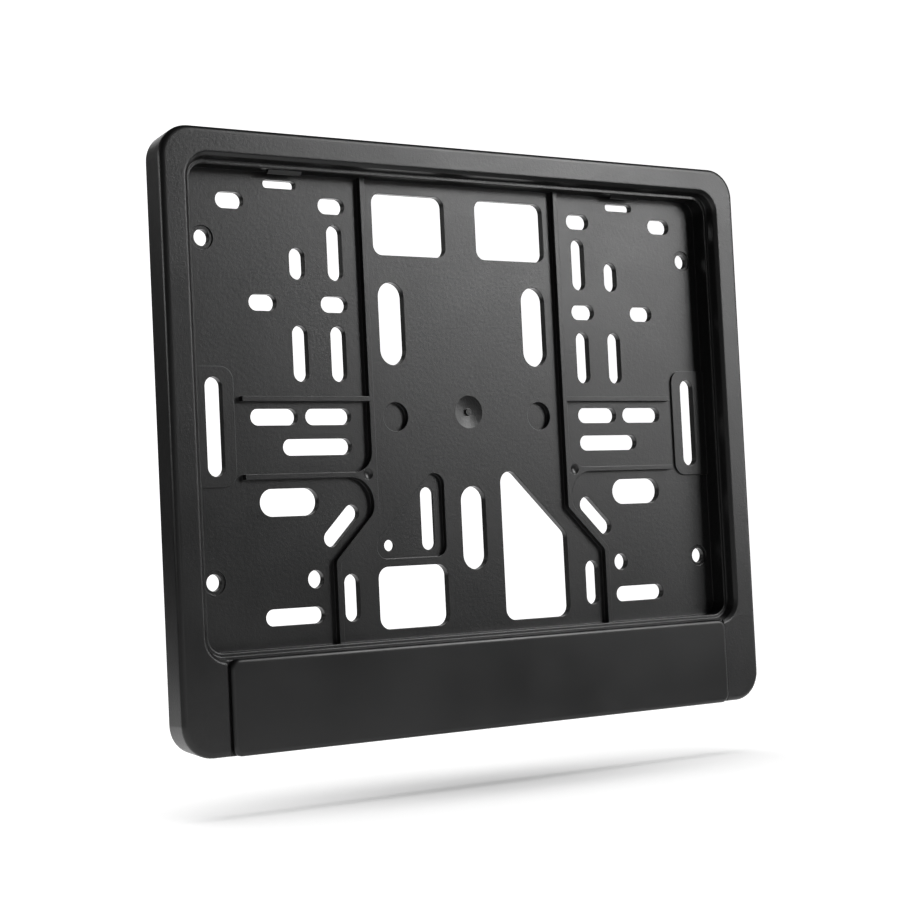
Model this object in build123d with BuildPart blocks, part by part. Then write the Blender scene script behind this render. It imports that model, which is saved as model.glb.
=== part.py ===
"""A moulded number plate holder: a framed, pierced tray and the strip that clips on below it.

Millimetres. The front faces -Y, +X is to the right and +Z is up. The origin is the middle of the
tray, on the flat rear face that lies against the vehicle.
"""
import math
import os

from build123d import *

# The plate that the tray takes, and the play round it
plate_w = 280.0
plate_h = 200.0
side_play = 1.5
top_play = 2.25

# Section of the rim, from the tray outwards
depth = 16.5
floor_t = 3.3
land_w = 1.8
bevel_w = 1.2
bevel_depth = 5.2
side_rim = 12.5
top_rim = 12.0
bottom_bar = 39.4
wall = 2.2
inner_wall = 2.0
side_draft = 5.0

# Corners and edges
tray_corner_r = 7.0
outer_corner_r = 14.0
front_edge_r = 2.2
rear_chamfer = 0.6
lip_chamfer = 1.3

# Webs across the hollow rim
web_t = 1.6
web_pitch = 45.0

# Clip-on strip, its seat on the bottom bar and its hooks. The strip lies towards the right-hand
# end of the seat, so its seam is open at the left.
strip_w = 270.4
seam_left = 1.0
seam_right = 0.2
strip_cover = 0.7
strip_t = 3.0
strip_proud = 1.6
strip_wall = 1.8
strip_lip = 2.4
strip_corner_r = 4.0
strip_edge_r = 1.6
hook_w = 10.0
hook_t = 1.8
hook_gap = 0.4
hook_barb = 1.2
hook_reach = 3.0

# Ribs that stand on the tray floor; the upright pair steps outwards on its way down
rib_h = 2.7
rib_w = 2.4
rib_x = 53.6
rib_step = 20.5
rib_bend = 45.0
rib_kink_z = -46.5
rib_kink_r = 3.5
rib_knee_r = 7.5
upper_rib_z = 4.0
lower_rib_z = -29.3
level_rib_w = 2.2
junction_r_above = 9.0
junction_r_below = 11.5
dimple_r = 2.4
dimple_depth = 0.9
dimple_out = 3.6

# Raised pad beside each side wall, hollow behind, with its long slot
pad_w = 20.5
pad_h = 0.9
pad_length = 51.2
pad_z = -7.7
pad_corner_r = 6.0
pad_edge = 2.4
pad_rib_gap = 3.1
side_slot_inset = 11.0
side_slot_w = 8.1
side_slot_length = 42.2

# Snap tabs that hold the plate's top edge, sloped in front to let it in, and the narrow slots
# moulded below them
tab_x = 94.0
tab_w = 16.5
tab_reach = 1.6
tab_t = 2.0
tab_tip = 0.4
tab_set = 1.8
tab_slot_w = 16.2
tab_slot_h = 3.6
tab_slot_drop = 5.1
tab_slot_r = 1.6

# Screw slots of one half. Each row gives the way out from the rib, the height above the tray's
# middle and the overall length.
slot_w = 7.2
upright_slot_w = 7.6
upright_slots = [(14.0, 68.4, 24.5), (33.3, 63.0, 13.9), (33.4, 23.8, 24.5), (14.2, 23.8, 24.5)]
level_slots = [(15.4, 45.6, 13.5), (51.1, 45.6, 13.5), (21.0, -3.7, 23.0), (47.9, -3.7, 23.0),
               (27.0, -16.8, 34.4)]
slant_slot = (16.8, -51.4, 22.5)
slant_angle = 45.0

# Slots of one half that keep to the top or the bottom wall: out from the rib, in from that wall
top_slots = [(14.8, 13.2, 13.4), (65.1, 13.2, 13.4)]
bottom_upright_slot = (12.9, 19.3, 20.8)
bottom_level_slot = (41.6, 12.9, 28.9)

# Larger slots and round holes of one half
oval_out = 42.2
oval_z = -40.4
oval_length = 28.9
oval_w = 11.9
hole_d = 7.2
head_recess_d = 10.2
head_recess = 0.5
upper_hole_inset = 9.1
upper_hole_drop = 29.8
lower_hole_inset = 8.2
lower_hole_rise = 29.2
inner_hole_out = 30.8
inner_hole_rise = 28.3
inner_hole_d = 7.9

# Openings of the middle field
window_w = 38.8
window_h = 27.7
window_x = 28.0
window_drop = 19.8
window_r = 4.5
wide_slot_w = 13.5
wide_slot_x = 39.4
wide_slot_z = 37.9
wide_slot_length = 37.2
centre_slot_z = -54.7
centre_slot_length = 37.9

# Opening with a slanted top, on the right whole and on the left closed above a bar by a thin web
gusset_in = 15.7
gusset_out = 52.6
gusset_knee_rise = 43.3
gusset_rise = 4.3
gusset_r = 5.2
bar_top_rise = 35.4
bar_w = 3.5
web_recess = 2.2
web_slot_x = 24.0
web_slot_rise = 52.6
web_slot_w = 6.7
web_slot_length = 28.2
web_hole_x = 45.1
web_hole_rise = 41.3
web_hole_d = 5.0

# Round marks on the floor: a shallow pair, and the dished gate with its nub
mark_x = 39.7
mark_z = -3.9
mark_d = 13.0
mark_depth = 2.2
gate_z = -1.8
gate_d = 15.0
gate_depth = 1.0
nub_d = 3.2

# Places that follow from the sizes above
tray_w = plate_w + 2 * side_play
tray_h = plate_h + 2 * top_play
side_x = tray_w / 2
top_z = tray_h / 2
bottom_z = -top_z
opening_w = tray_w + 2 * (land_w + bevel_w)
opening_h = tray_h + 2 * (land_w + bevel_w)
bevel_angle = math.degrees(math.atan2(bevel_w, bevel_depth))
outer_w = opening_w + 2 * side_rim
outer_top = opening_h / 2 + top_rim
outer_bottom = -opening_h / 2 - bottom_bar
outer_h = outer_top - outer_bottom
outer_mid = (outer_top + outer_bottom) / 2
draft_in = depth * math.tan(math.radians(side_draft))
shell_in = draft_in + wall
land_y = depth - bevel_depth
channel_depth = land_y - wall
seat_y = depth + strip_proud - strip_t
strip_top = strip_cover - opening_h / 2
strip_mid = (strip_top + outer_bottom) / 2
seat_w = strip_w + seam_left + seam_right
strip_x = (seam_left - seam_right) / 2
strip_h = strip_top - outer_bottom
hook_columns = [side * step * web_pitch / 2 for step in (1, 5) for side in (-1, 1)]
rib_low_x = rib_x + rib_step
rib_low_z = rib_kink_z - rib_step / math.tan(math.radians(rib_bend))
rib_half = rib_w / 2
rib_mitre = rib_half * math.tan(math.radians(rib_bend / 2))
pad_in = side_x - pad_w
knee_z = bottom_z + gusset_knee_rise
outer_holes = [
    (side_x - upper_hole_inset, top_z - upper_hole_drop),
    (side_x - lower_hole_inset, bottom_z + lower_hole_rise),
]


def dish_radius(width, sink):
    """Give the radius of the ball that leaves a dish of this width and depth in a flat face."""
    return (width**2 / 4 + sink**2) / (2 * sink)


dimple_x = rib_x + dimple_out
dimple_ball_r = dish_radius(2 * dimple_r, dimple_depth)
dimple_ball_y = dimple_depth - floor_t - rib_h - dimple_ball_r
gate_ball_r = dish_radius(gate_d, gate_depth)
gate_ball_y = gate_depth - floor_t - gate_ball_r


def channel_outline(inner_edge):
    """Draw the hollow of the rim, from inner_edge round the tray to the outer wall, less its webs."""
    with Locations((0, outer_mid)):
        RectangleRounded(outer_w - 2 * shell_in, outer_h - 2 * shell_in, outer_corner_r - shell_in)
    RectangleRounded(
        tray_w + 2 * inner_edge, tray_h + 2 * inner_edge, tray_corner_r + inner_edge, mode=Mode.SUBTRACT
    )
    across = 2 * int(side_x / web_pitch) + 1
    with Locations((0, outer_mid)):
        with GridLocations(web_pitch, 0, across, 1):
            Rectangle(web_t, outer_h, mode=Mode.SUBTRACT)
    along = 2 * int(top_z / web_pitch) + 1
    with GridLocations(0, web_pitch, 1, along):
        Rectangle(outer_w, web_t, mode=Mode.SUBTRACT)


def upright(length, width):
    """Draw a round-ended slot that stands upright."""
    SlotOverall(length, width, rotation=90)


def gusset_outline(low):
    """Draw the right-hand outline with the slanted top, down to the height low."""
    Polygon(
        (gusset_in, low),
        (gusset_out, low),
        (gusset_out, knee_z),
        (gusset_in, knee_z + gusset_out - gusset_in),
        align=None,
    )


with BuildPart() as holder:
    # Outer block, which widens towards the front by its draft
    with BuildSketch(Plane.XZ):
        with Locations((0, outer_mid)):
            RectangleRounded(outer_w - 2 * draft_in, outer_h - 2 * draft_in, outer_corner_r - draft_in)
    extrude(amount=depth, taper=-side_draft)
    fillet(holder.faces().sort_by(Axis.Y)[0].edges(), front_edge_r)
    chamfer(holder.faces().sort_by(Axis.Y)[-1].edges(), rear_chamfer)

    # Tray, and the land and bevel round its mouth
    with BuildSketch(Plane.XZ.offset(floor_t)):
        RectangleRounded(tray_w, tray_h, tray_corner_r)
    extrude(amount=depth - floor_t, mode=Mode.SUBTRACT)
    with BuildSketch(Plane.XZ.offset(land_y)):
        RectangleRounded(tray_w + 2 * land_w, tray_h + 2 * land_w, tray_corner_r + land_w)
    extrude(amount=bevel_depth, taper=-bevel_angle, mode=Mode.SUBTRACT)
    chamfer(holder.faces().sort_by(Axis.Y)[0].inner_wires()[0].edges(), lip_chamfer)

    # Hollow of the rim, open to the rear and stepped to follow the land and the bevel
    with BuildSketch(Plane.XZ):
        channel_outline(inner_wall)
    extrude(amount=channel_depth, mode=Mode.SUBTRACT)
    with BuildSketch(Plane.XZ.offset(channel_depth)):
        channel_outline(land_w + bevel_w + inner_wall)
        with Locations((0, strip_mid)):
            Rectangle(seat_w + 2 * wall, 2 * bottom_bar, mode=Mode.SUBTRACT)
    extrude(amount=depth - wall - channel_depth, mode=Mode.SUBTRACT)
    with BuildSketch(Plane.XZ.offset(channel_depth)):
        channel_outline(land_w + bevel_w + inner_wall)
        with Locations((0, strip_mid)):
            Rectangle(seat_w + 2 * wall, 2 * bottom_bar, mode=Mode.INTERSECT)
    extrude(amount=seat_y - wall - channel_depth, mode=Mode.SUBTRACT)

    # Seat of the strip on the bottom bar
    with BuildSketch(Plane.XZ.offset(seat_y)):
        with Locations((0, bottom_z)):
            Rectangle(seat_w, 2 * outer_h, align=(Align.CENTER, Align.MAX))
    extrude(amount=depth, mode=Mode.SUBTRACT)
    with BuildSketch(Plane.XZ.offset(channel_depth)):
        with Locations([(hook_x, strip_mid) for hook_x in hook_columns]):
            Rectangle(hook_w + 2 * hook_gap, hook_t + 2 * hook_gap)
    extrude(amount=depth, mode=Mode.SUBTRACT)

    # Side pads, raised in front and as deeply hollowed behind
    with BuildSketch(Plane.XZ.offset(floor_t)) as pads:
        with Locations((pad_in, pad_z)):
            Rectangle(pad_w + inner_wall / 2, pad_length, align=(Align.MIN, Align.CENTER))
        fillet(pads.vertices().group_by(Axis.X)[0], pad_corner_r)
        mirror(about=Plane.YZ)
    extrude(amount=pad_h)
    with BuildSketch(Plane.XZ):
        with Locations((pad_w / 2 - side_x, pad_z), (side_x - pad_w / 2, pad_z)):
            Rectangle(pad_w - 2 * pad_edge, pad_length - 2 * pad_edge)
    extrude(amount=pad_h, mode=Mode.SUBTRACT)

    # Ribs, with the lower level rib spread into a land where it meets the upright one
    with BuildSketch(Plane.XZ.offset(floor_t)) as ribs:
        inner_bends = [
            (rib_x - rib_half, rib_kink_z - rib_mitre),
            (rib_low_x - rib_half, rib_low_z - rib_mitre),
        ]
        outer_bends = [
            (rib_low_x + rib_half, rib_low_z + rib_mitre),
            (rib_x + rib_half, rib_kink_z + rib_mitre),
        ]
        Polygon(
            (rib_x - rib_half, top_z + inner_wall / 2),
            *inner_bends,
            (rib_low_x - rib_half, bottom_z - inner_wall / 2),
            (rib_low_x + rib_half, bottom_z - inner_wall / 2),
            *outer_bends,
            (rib_x + rib_half, top_z + inner_wall / 2),
            align=None,
        )
        for bend, radius in zip(inner_bends + outer_bends, (rib_kink_r, rib_kink_r, rib_kink_r, rib_knee_r)):
            fillet(ribs.vertices().sort_by_distance(bend)[0], radius)
        with Locations((rib_x, upper_rib_z), (rib_x, lower_rib_z)):
            Rectangle(pad_in - pad_rib_gap - rib_x, level_rib_w, align=(Align.MIN, Align.CENTER))
        for side, radius in ((1, junction_r_above), (-1, junction_r_below)):
            corner = (rib_x + rib_half, lower_rib_z + side * level_rib_w / 2)
            fillet(ribs.vertices().sort_by_distance(corner)[0], radius)
        mirror(about=Plane.YZ)
    extrude(amount=rib_h)

    # Snap tabs at the top of the tray, set behind the land
    tab_front = tab_set - land_y
    tab_back = tab_front + tab_t
    for side in (-1, 1):
        with BuildSketch(Plane.YZ.offset(side * tab_x - tab_w / 2)):
            Polygon(
                (tab_back, top_z + inner_wall / 2),
                (tab_back, top_z - tab_reach),
                (tab_back - tab_tip, top_z - tab_reach),
                (tab_front, top_z),
                (tab_front, top_z + inner_wall / 2),
                align=None,
            )
        extrude(amount=tab_w)

    # Recesses for the heads of the outer screws
    with BuildSketch(Plane.XZ.offset(floor_t)):
        with Locations(outer_holes):
            Circle(head_recess_d / 2)
        mirror(about=Plane.YZ)
    extrude(amount=-head_recess, mode=Mode.SUBTRACT)

    # Thin web on the left, and the shallow marks
    with BuildSketch(Plane.XZ.offset(floor_t)) as web:
        gusset_outline(bottom_z + bar_top_rise)
        fillet(web.vertices(), gusset_r)
        mirror(about=Plane.YZ, mode=Mode.REPLACE)
    extrude(amount=-web_recess, mode=Mode.SUBTRACT)
    with BuildSketch(Plane.XZ.offset(floor_t)):
        with Locations((-mark_x, mark_z), (mark_x, mark_z)):
            Circle(mark_d / 2)
    extrude(amount=-mark_depth, mode=Mode.SUBTRACT)

    for side in (-1, 1):
        with Locations((side * dimple_x, dimple_ball_y, lower_rib_z)):
            Sphere(dimple_ball_r, mode=Mode.SUBTRACT)
    with Locations((0, gate_ball_y, gate_z)):
        Sphere(gate_ball_r, mode=Mode.SUBTRACT)
    with BuildSketch(Plane.XZ.offset(floor_t / 2)):
        with Locations((0, gate_z)):
            Circle(nub_d / 2)
    extrude(amount=floor_t / 2)

    # Screw slots and holes of both halves
    with BuildSketch(Plane.XZ) as screw_holes:
        for out, height, length in upright_slots:
            with Locations((rib_x + out, height)):
                upright(length, upright_slot_w)
        for out, height, length in level_slots:
            with Locations((rib_x + out, height)):
                SlotOverall(length, slot_w)
        for out, drop, length in top_slots:
            with Locations((rib_x + out, top_z - drop)):
                SlotOverall(length, slot_w)
        out, height, length = slant_slot
        with Locations((rib_x + out, height)):
            SlotOverall(length, upright_slot_w, rotation=-slant_angle)
        out, rise, length = bottom_upright_slot
        with Locations((rib_x + out, bottom_z + rise)):
            upright(length, upright_slot_w)
        out, rise, length = bottom_level_slot
        with Locations((rib_x + out, bottom_z + rise)):
            SlotOverall(length, slot_w)
        with Locations((rib_x + oval_out, oval_z)):
            SlotOverall(oval_length, oval_w)
        with Locations((side_x - side_slot_inset, pad_z)):
            upright(side_slot_length, side_slot_w)
        with Locations((tab_x, top_z - tab_slot_drop)):
            RectangleRounded(tab_slot_w, tab_slot_h, tab_slot_r)
        with Locations(outer_holes):
            Circle(hole_d / 2)
        with Locations((rib_x + inner_hole_out, bottom_z + inner_hole_rise)):
            Circle(inner_hole_d / 2)
        with Locations((window_x, top_z - window_drop)):
            RectangleRounded(window_w, window_h, window_r)
        with Locations((wide_slot_x, wide_slot_z)):
            upright(wide_slot_length, wide_slot_w)
        mirror(about=Plane.YZ)
        with Locations((0, centre_slot_z)):
            upright(centre_slot_length, wide_slot_w)
    extrude(amount=floor_t + rib_h, mode=Mode.SUBTRACT)

    # Opening with the slanted top on the right
    with BuildSketch(Plane.XZ) as gusset:
        gusset_outline(bottom_z + gusset_rise)
        fillet(gusset.vertices(), gusset_r)
    extrude(amount=floor_t, mode=Mode.SUBTRACT)

    # Window, slot and hole of the left side, below and in the thin web
    window_top = bottom_z + bar_top_rise - bar_w
    with BuildSketch(Plane.XZ):
        with Locations((-(gusset_in + gusset_out) / 2, (window_top + bottom_z + gusset_rise) / 2)):
            RectangleRounded(gusset_out - gusset_in, window_top - bottom_z - gusset_rise, gusset_r)
        with Locations((-web_slot_x, bottom_z + web_slot_rise)):
            upright(web_slot_length, web_slot_w)
        with Locations((-web_hole_x, bottom_z + web_hole_rise)):
            Circle(web_hole_d / 2)
    extrude(amount=floor_t, mode=Mode.SUBTRACT)

with BuildPart() as strip:
    # Cover, rounded along its front edges and hollow behind
    with BuildSketch(Plane.XZ.offset(seat_y)):
        with Locations((strip_x, strip_mid)):
            RectangleRounded(strip_w, strip_h, strip_corner_r)
    extrude(amount=strip_t)
    fillet(strip.faces().sort_by(Axis.Y)[0].edges(), strip_edge_r)
    with BuildSketch(Plane.XZ.offset(seat_y)):
        with Locations((strip_x, strip_mid)):
            Rectangle(strip_w - 2 * strip_lip, strip_h - 2 * strip_lip)
    extrude(amount=strip_t - strip_wall, mode=Mode.SUBTRACT)

    # Hooks that pass through the bar and catch behind its wall
    root_y = strip_wall / 2 - seat_y - strip_t
    catch_y = wall + hook_gap - seat_y
    tip_y = catch_y + hook_reach
    hook_low = strip_mid - hook_t / 2
    hook_high = strip_mid + hook_t / 2
    for hook_x in hook_columns:
        with BuildSketch(Plane.YZ.offset(hook_x - hook_w / 2)):
            Polygon(
                (root_y, hook_low),
                (tip_y, hook_low),
                (tip_y, hook_high),
                (catch_y, hook_high + hook_barb),
                (catch_y, hook_high),
                (root_y, hook_high),
                align=None,
            )
        extrude(amount=hook_w)

os.makedirs("parts", exist_ok=True)
holder.part.label = "holder_frame"
export_step(holder.part, "parts/holder_frame.step")
strip.part.label = "retaining_strip"
export_step(strip.part, "parts/retaining_strip.step")
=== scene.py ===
# %% [markdown]
# # A moulded number plate holder
#
# The holder is two mouldings of black plastic: a frame with a pierced tray, and a strip that clips
# on below it. Both are rigid and were drawn at their real size, so the shapes come in as they are.
# What is left to do here is what a moulding shows close up: its grain, its soft edges and its sheen,
# under light that shows them. All lengths are metres, and the front of the holder faces -Y.

# %% Load the two mouldings
import math

import bpy
from mathutils import Matrix, Vector

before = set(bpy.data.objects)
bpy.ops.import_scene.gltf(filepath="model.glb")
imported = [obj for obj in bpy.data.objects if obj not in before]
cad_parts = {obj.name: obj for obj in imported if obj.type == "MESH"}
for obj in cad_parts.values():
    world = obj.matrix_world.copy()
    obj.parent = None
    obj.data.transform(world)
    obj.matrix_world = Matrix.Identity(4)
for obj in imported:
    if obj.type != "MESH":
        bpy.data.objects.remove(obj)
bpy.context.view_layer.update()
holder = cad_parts["holder_frame"]
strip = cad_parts["retaining_strip"]

# %% [markdown]
# ## Node helpers
#
# A Blender material is a small graph of nodes. It could be wired by hand in the shader editor, but a
# script gives the same graph each time. A few helpers keep that short: one makes a node and fills its
# inputs, one takes the largest of some values, and two make a material and put it on a piece.

# %% Helpers for shader graphs
def node(tree, kind, inputs=(), **settings):
    """Add a node of this kind, set its properties, and set or link the inputs given by name."""
    made = tree.nodes.new(kind)
    for name, value in settings.items():
        setattr(made, name, value)
    for name, value in dict(inputs).items():
        if isinstance(value, bpy.types.NodeSocket):
            tree.links.new(value, made.inputs[name])
        else:
            made.inputs[name].default_value = value
    return made


def largest(tree, values):
    """The largest of these sockets or numbers, by a chain of Math nodes."""
    result = values[0]
    for value in values[1:]:
        result = node(tree, "ShaderNodeMath", {0: result, 1: value}, operation="MAXIMUM").outputs[0]
    return result


def new_material(name):
    """Make a material with an empty graph and an output. Returns it, its tree and the output."""
    material = bpy.data.materials.new(name)
    material.use_nodes = True
    tree = material.node_tree
    tree.nodes.clear()
    return material, tree, tree.nodes.new("ShaderNodeOutputMaterial")


def wear_material(piece, material):
    """Give a piece this one material on all its faces."""
    piece.data.materials.clear()
    piece.data.materials.append(material)


# %% [markdown]
# ## Grain and sheen of a moulding
#
# The frame's mould was etched, so the plastic has a fine pebble grain and a soft sheen. Modelled, the
# grain would take millions of faces, so it is a relief of two noises on the surface: one of about half
# a millimetre gives the pebbles, and one of over a millimetre the dimples that can be seen from a
# distance. A third, much larger noise makes the sheen uneven, as it is where the plastic cooled faster.

# %% Relief and roughness from noise
MM = 0.001
DIMPLE_SIZE = 1.3 * MM
COOLING_PATCH = 35 * MM
COOLING_LOW, COOLING_HIGH = 0.3, 0.7
SHEEN_CHANGE = 0.03


def noise(tree, where, size, **inputs):
    """Values of a noise with patches of this size at these places."""
    return node(tree, "ShaderNodeTexNoise", {"Vector": where, "Scale": 1 / size, **inputs}).outputs["Fac"]


def grain_relief(tree, where, grain_size, dimple_share):
    """Height of the grain: the pebbles, plus this share of the dimples."""
    pebbles = noise(tree, where, grain_size, Detail=2.0, Roughness=0.6)
    dimples = noise(tree, where, DIMPLE_SIZE, Detail=1.0)
    sum_of_both = {0: dimples, 1: dimple_share, 2: pebbles}
    return node(tree, "ShaderNodeMath", sum_of_both, operation="MULTIPLY_ADD").outputs[0]


def uneven_roughness(tree, where, roughness):
    """Roughness that goes a little up and down round this value from patch to patch."""
    patches = noise(tree, where, COOLING_PATCH, Detail=3.0)
    limits = {"From Min": COOLING_LOW, "From Max": COOLING_HIGH,
              "To Min": roughness - SHEEN_CHANGE, "To Max": roughness + SHEEN_CHANGE}
    return node(tree, "ShaderNodeMapRange", {"Value": patches, **limits}).outputs["Result"]


print("dimples, mm:", round(DIMPLE_SIZE / MM, 2), "and patches of sheen, mm:", round(COOLING_PATCH / MM, 1))

# %% [markdown]
# ## Soft edges
#
# No edge of a moulding is quite sharp. Real fillets on every small edge would take very many more
# faces, so the Bevel node only turns the light on each edge as a small round would. The rim in front
# is rounded more than the tray behind it, so the radius grows with the way to the front.

# %% Rounded edges in the light
TRAY_FRONT, RIM_BACK = -9 * MM, -12 * MM
TRAY_EDGE, RIM_EDGE = 0.35 * MM, 1.1 * MM
EDGE_SAMPLES = 8


def soft_edges(tree, where):
    """Normals of a surface whose edges are rounded by a radius that depends on Y."""
    front_to_back = node(tree, "ShaderNodeSeparateXYZ", {"Vector": where}).outputs["Y"]
    limits = {"From Min": TRAY_FRONT, "From Max": RIM_BACK, "To Min": TRAY_EDGE, "To Max": RIM_EDGE}
    radius = node(tree, "ShaderNodeMapRange", {"Value": front_to_back, **limits}).outputs["Result"]
    return node(tree, "ShaderNodeBevel", {"Radius": radius}, samples=EDGE_SAMPLES).outputs["Normal"]


print("edge radius, mm: tray", round(TRAY_EDGE / MM, 2), "and rim", round(RIM_EDGE / MM, 2))

# %% [markdown]
# ## Black plastic from a grained mould
#
# The plastic is dyed through, so its colour is one deep black. All that is seen of it is the gloss,
# which the relief, the roughness and the soft edges shape. The same places on the object drive all
# three, so the pattern stays put from every side.

# %% The grained plastic of the frame
DEEP_BLACK = (0.006, 0.006, 0.0062, 1.0)
PLASTIC_IOR = 1.47


def moulded_plastic(name, roughness, grain_size, grain_height, dimple_share):
    """Black plastic with a pebble grain of this size and height, in metres.

    The dimples are this share of the grain's height deep.
    """
    material, tree, out = new_material(name)
    where = node(tree, "ShaderNodeTexCoord").outputs["Object"]
    relief = grain_relief(tree, where, grain_size, dimple_share)
    grain = node(
        tree,
        "ShaderNodeBump",
        {"Strength": 1.0, "Distance": grain_height, "Height": relief, "Normal": soft_edges(tree, where)},
    )
    surface = node(
        tree,
        "ShaderNodeBsdfPrincipled",
        {"Base Color": DEEP_BLACK, "IOR": PLASTIC_IOR, "Normal": grain.outputs["Normal"],
         "Roughness": uneven_roughness(tree, where, roughness)},
    )
    tree.links.new(surface.outputs["BSDF"], out.inputs["Surface"])
    return material


grained = moulded_plastic(
    "grained_black_plastic", roughness=0.34, grain_size=0.55 * MM, grain_height=0.04 * MM, dimple_share=1.0
)
wear_material(holder, grained)
print("frame material:", grained.name)

# %% [markdown]
# ## The smoother plastic of the strip
#
# The strip came from a mould with a finer finish. It is the same plastic with a much flatter grain
# and a little more gloss, so that it reads as a second piece next to the frame.

# %% The smooth plastic of the strip
smooth = moulded_plastic(
    "smooth_black_plastic", roughness=0.32, grain_size=0.4 * MM, grain_height=0.006 * MM, dimple_share=0.3
)
wear_material(strip, smooth)
print("strip material:", smooth.name)

# %% [markdown]
# ## A camera that stands where the photographer stood
#
# A camera is known by its lens, its place and three turns: how far it looks to the side, up, and how
# far it is tipped. The turns are made into three directions, and a camera's matrix holds those
# directions in its columns: right, up and backwards.

# %% The camera
IMAGE_SIZE = 900
LENS_PIXELS = 1990
SENSOR_WIDTH = 36.0
FARTHEST_SEEN = 20.0
CAMERA_PLACE = Vector((-0.5177, -0.7487, -0.0617))
YAW, PITCH, ROLL = (math.radians(a) for a in (34.185, 2.707, -2.786))


def view_axes(yaw, pitch, roll):
    """Right, up and forward: yaw turns from +Y towards +X, pitch lifts, roll tips about forward."""
    forward = Vector((math.sin(yaw) * math.cos(pitch), math.cos(yaw) * math.cos(pitch), math.sin(pitch)))
    level = Vector((math.cos(yaw), -math.sin(yaw), 0.0))
    upright = level.cross(forward)
    right = level * math.cos(roll) + upright * math.sin(roll)
    return right, right.cross(forward), forward


right, up, forward = view_axes(YAW, PITCH, ROLL)
camera_data = bpy.data.cameras.new("camera")
camera_data.sensor_width = SENSOR_WIDTH
camera_data.lens = SENSOR_WIDTH * LENS_PIXELS / IMAGE_SIZE
camera_data.clip_end = FARTHEST_SEEN
camera = bpy.data.objects.new("camera", camera_data)
turn = Matrix((right, up, -forward)).transposed().to_4x4()
camera.matrix_world = Matrix.Translation(CAMERA_PLACE) @ turn
bpy.context.scene.collection.objects.link(camera)
bpy.context.scene.camera = camera
print("camera lens, mm:", round(camera_data.lens, 2))

# %% [markdown]
# ## Floor and backdrop
#
# The holder hangs a little above a white floor, so its shadow lies apart from it. The floor is a
# plain pale sheet that takes the shadow, and the backdrop is a white sheet that fills the view behind
# it. Towards the camera the floor ends just outside the view, because the black plastic would mirror
# whatever lay there.

# %% Two plain sheets
FLOOR_Z = -0.170
FLOOR_CORNERS = ((-0.33, -0.12), (-0.075, -0.36), (3.1, 2.6), (-0.2, 2.6))
BACKDROP_Y = 2.55
BACKDROP_LEFT, BACKDROP_RIGHT = 0.0, 3.4
BACKDROP_TOP = 1.6


def sheet(name, corners):
    """A flat sheet of one face between four corners, which is no part of the object."""
    mesh = bpy.data.meshes.new(name)
    mesh.from_pydata(corners, [], [(0, 1, 2, 3)])
    made = bpy.data.objects.new(name, mesh)
    bpy.context.scene.collection.objects.link(made)
    return made


floor = sheet("floor", [(x, y, FLOOR_Z) for x, y in FLOOR_CORNERS])
backdrop = sheet(
    "backdrop",
    [(BACKDROP_LEFT, BACKDROP_Y, FLOOR_Z), (BACKDROP_RIGHT, BACKDROP_Y, FLOOR_Z),
     (BACKDROP_RIGHT, BACKDROP_Y, BACKDROP_TOP), (BACKDROP_LEFT, BACKDROP_Y, BACKDROP_TOP)],
)

# %% [markdown]
# ## A glow that keeps the shadow
#
# The lamp that makes the shadow does not make the floor quite white, and the photograph's shadow is
# short. So the floor also glows: least in the middle of the shadow and more round it, so that the
# shadow stays where it is deep and its faint outer parts are lost in the white. Far away, where the
# lamp gets weak, the glow takes over. The backdrop glows evenly.

# %% How much the floor glows
# The glow dips in an ellipse under the holder. That dip is a painted shadow, which darkens the floor there
# on top of the shadow that the overhead lamp casts.
GLOW_IN_SHADOW, GLOW_ROUND_IT, GLOW_FAR_OFF = 0.14, 0.42, 1.0
SHADOW_MIDDLE = (-0.005, -0.002, FLOOR_Z)
SHADOW_TURN = math.radians(-9)
SHADOW_REACH = (0.165, 0.082, 1.0)
NEAR_END, FAR_END = 0.4, 2.2


def length(tree, vector):
    """Length of a vector."""
    return node(tree, "ShaderNodeVectorMath", {0: vector}, operation="LENGTH").outputs["Value"]


def floor_glow_with_painted_shadow(tree, where):
    """Glow that rises from an ellipse's middle to its edge, and then slowly with the distance. The low glow
    in the ellipse is a painted shadow under the holder.
    """
    ellipse = {"Location": SHADOW_MIDDLE, "Rotation": (0, 0, SHADOW_TURN), "Scale": SHADOW_REACH}
    in_ellipse = node(tree, "ShaderNodeMapping", {"Vector": where, **ellipse}, vector_type="TEXTURE")
    near = node(
        tree,
        "ShaderNodeMapRange",
        {"Value": length(tree, in_ellipse.outputs["Vector"]),
         "To Min": GLOW_IN_SHADOW, "To Max": GLOW_ROUND_IT},
        interpolation_type="SMOOTHSTEP",
    )
    far = node(
        tree,
        "ShaderNodeMapRange",
        {"Value": length(tree, where), "From Min": NEAR_END, "From Max": FAR_END,
         "To Min": 0.0, "To Max": GLOW_FAR_OFF - GLOW_ROUND_IT},
    )
    return node(tree, "ShaderNodeMath", {0: near.outputs["Result"], 1: far.outputs["Result"]}).outputs[0]


def even_glow(tree, where):
    """The same glow all over."""
    return GLOW_FAR_OFF


print("glow in the shadow", GLOW_IN_SHADOW, "round it", GLOW_ROUND_IT, "far off", GLOW_FAR_OFF)

# %% [markdown]
# ## White paper
#
# Lamps alone would have to be very bright to make both sheets quite white. The paper could also be a
# lamp itself, but then it would light the holder from below and behind. So it glows only for the
# camera and for what shows in gloss or through glass, which the Light Path node can tell apart.

# %% The white paper
PAPER = (0.85, 0.85, 0.85, 1.0)
WHITE = (1.0, 1.0, 1.0, 1.0)
SEEN_RAYS = ("Is Camera Ray", "Is Glossy Ray", "Is Transmission Ray")


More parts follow.
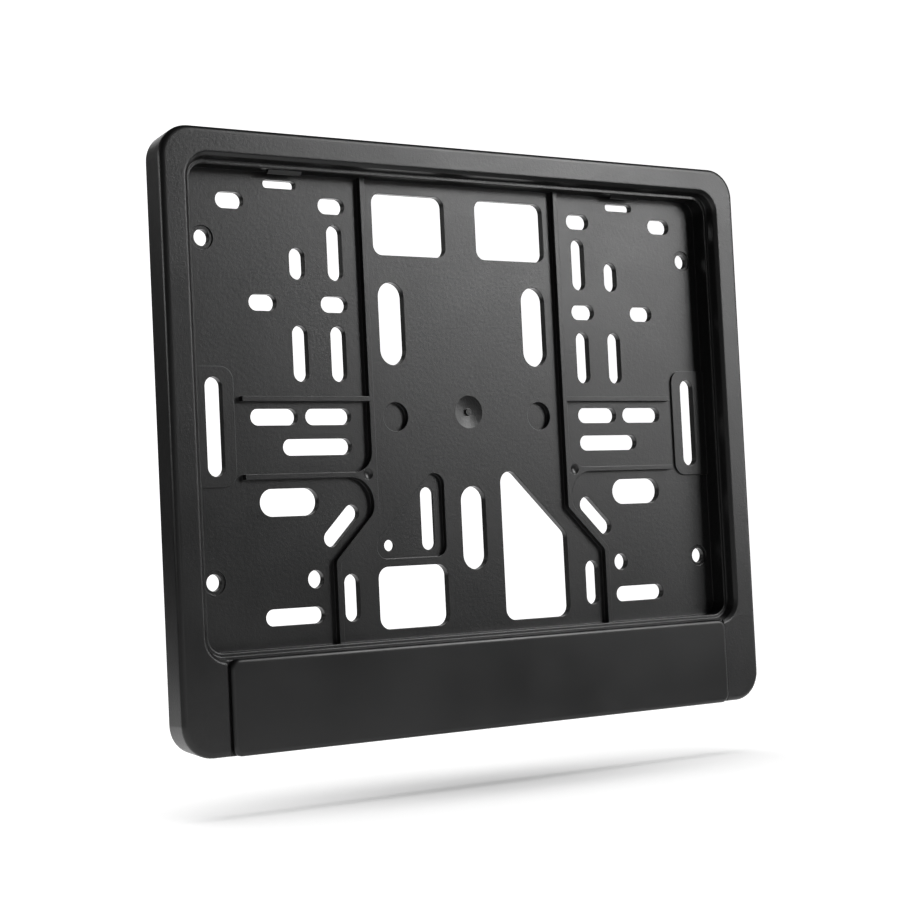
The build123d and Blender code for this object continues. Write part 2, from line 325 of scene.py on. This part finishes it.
def white_paper(name, glow_at):
    """Paper that glows by glow_at(tree, where), but only for the camera and for reflections."""
    material, tree, out = new_material(name)
    path = node(tree, "ShaderNodeLightPath")
    seen = largest(tree, [path.outputs[ray] for ray in SEEN_RAYS])
    where = node(tree, "ShaderNodeTexCoord").outputs["Object"]
    strength = node(tree, "ShaderNodeMath", {0: seen, 1: glow_at(tree, where)}, operation="MULTIPLY")
    paper = node(tree, "ShaderNodeBsdfDiffuse", {"Color": PAPER})
    light = node(tree, "ShaderNodeEmission", {"Color": WHITE, "Strength": strength.outputs[0]})
    both = node(tree, "ShaderNodeAddShader", {0: paper.outputs[0], 1: light.outputs[0]})
    tree.links.new(both.outputs[0], out.inputs["Surface"])
    return material


wear_material(floor, white_paper("white_floor", floor_glow_with_painted_shadow))
wear_material(backdrop, white_paper("white_backdrop", even_glow))
print("sheets:", floor.name, "and", backdrop.name)

# %% [markdown]
# ## Lamps round the holder
#
# Black plastic shows hardly any colour of its own: what the eye sees is the light that it mirrors.
# Four soft lamps in front on the right stand for one tall, uneven soft box: they give the sheen that
# grows towards the upper right corner. Two small ones on the left light the near side wall. The rest
# stand low all round and show the front, the sides and the rear in the views from there, where the
# camera's own view hardly mirrors them.

# %% Soft lamps
def soft_lamp(name, place, target, size, watts):
    """A round lamp of this diameter at place, aimed at target."""
    data = bpy.data.lights.new(name, "AREA")
    data.shape = "DISK"
    data.size = size
    data.energy = watts
    lamp = bpy.data.objects.new(name, data)
    lamp.location = place
    lamp.rotation_euler = (Vector(target) - Vector(place)).to_track_quat("-Z", "Y").to_euler()
    bpy.context.scene.collection.objects.link(lamp)
    return lamp


def from_holder(azimuth, elevation, distance):
    """A place as seen from the holder: azimuth from straight ahead (-Y) towards +X, in degrees."""
    a, e = math.radians(azimuth), math.radians(elevation)
    return distance * Vector((math.sin(a) * math.cos(e), -math.cos(a) * math.cos(e), math.sin(e)))


MIDDLE = (0, 0, 0)
HOLDER_LAMPS = {  # azimuth and elevation in degrees, distance and diameter in metres, power in watts
    "high_key": (44, 36, 1.5, 0.5, 8.0),
    "main_key": (40, 20, 1.5, 0.5, 7.0),
    "low_key": (40, 8, 1.5, 0.5, 1.5),
    "right_key": (58, 4, 1.5, 0.5, 3.0),
    "side_lamp": (-112, 12, 1.2, 0.35, 2.0),
    "edge_lamp": (-140, 20, 1.2, 0.35, 0.45),
    "rear_lamp": (150, -25, 1.5, 0.6, 8.0),
    "front_fill": (-10, -10, 1.5, 0.8, 1.6),
    "front_left_fill": (-50, -20, 1.5, 0.9, 2.2),
    "left_fill": (-92, -14, 1.5, 0.6, 0.8),
    "right_fill": (95, -18, 1.5, 0.9, 3.0),
}
holder_lamps = [
    soft_lamp(name, from_holder(azimuth, elevation, distance), MIDDLE, size, watts)
    for name, (azimuth, elevation, distance, size, watts) in HOLDER_LAMPS.items()
]
print("lamps for the holder:", [lamp.name for lamp in holder_lamps])

# %% [markdown]
# ## One lamp for the shadow
#
# So many lamps would leave as many shadows on the floor. Light linking says which pieces a lamp
# lights and which stand in its way: the lamps above are linked to the holder alone. The one shadow
# comes from a broad lamp overhead, which is linked to the sheets alone, and its width makes the shadow
# soft.

# %% The overhead lamp and what each lamp lights
OVERHEAD_PLACE = (0, 0, 1.6)
OVERHEAD_SIZE, OVERHEAD_WATTS = 2.4, 40


def light_only(lamps, pieces):
    """Let these lamps light these pieces and nothing else. Returns the collection of the pieces."""
    lit = bpy.data.collections.new("lit_by_" + lamps[0].name)
    for piece in pieces:
        lit.objects.link(piece)
    for lamp in lamps:
        lamp.light_linking.receiver_collection = lit
    return lit


overhead = soft_lamp("overhead_lamp", OVERHEAD_PLACE, MIDDLE, OVERHEAD_SIZE, OVERHEAD_WATTS)
light_only([overhead], (floor, backdrop))
holder_pieces = light_only(holder_lamps, (holder, strip))
for lamp in holder_lamps:
    lamp.light_linking.blocker_collection = holder_pieces
print("lamp for the shadow:", overhead.name)

# %% [markdown]
# ## The world
#
# The world is white where the camera sees it, straight or through glass, so that every view has a
# white background. In the gloss it shows much weaker, because black plastic that mirrored white from
# all round would look grey, and it adds hardly any light.

# %% A white world that stays out of the gloss
WORLD_LIGHT, WORLD_IN_GLOSS = 0.05, 0.05
world = bpy.data.worlds.new("studio")
world.use_nodes = True
sky = world.node_tree
path = node(sky, "ShaderNodeLightPath")
gloss_share = {0: path.outputs["Is Glossy Ray"], 1: WORLD_IN_GLOSS}
in_gloss = node(sky, "ShaderNodeMath", gloss_share, operation="MULTIPLY").outputs[0]
seen = [path.outputs["Is Camera Ray"], path.outputs["Is Transmission Ray"]]
level = largest(sky, seen + [in_gloss, WORLD_LIGHT])
background = sky.nodes["Background"]
background.inputs["Color"].default_value = WHITE
sky.links.new(level, background.inputs["Strength"])
bpy.context.scene.world = world
bpy.context.scene.view_settings.view_transform = "Standard"
print("world light:", WORLD_LIGHT)
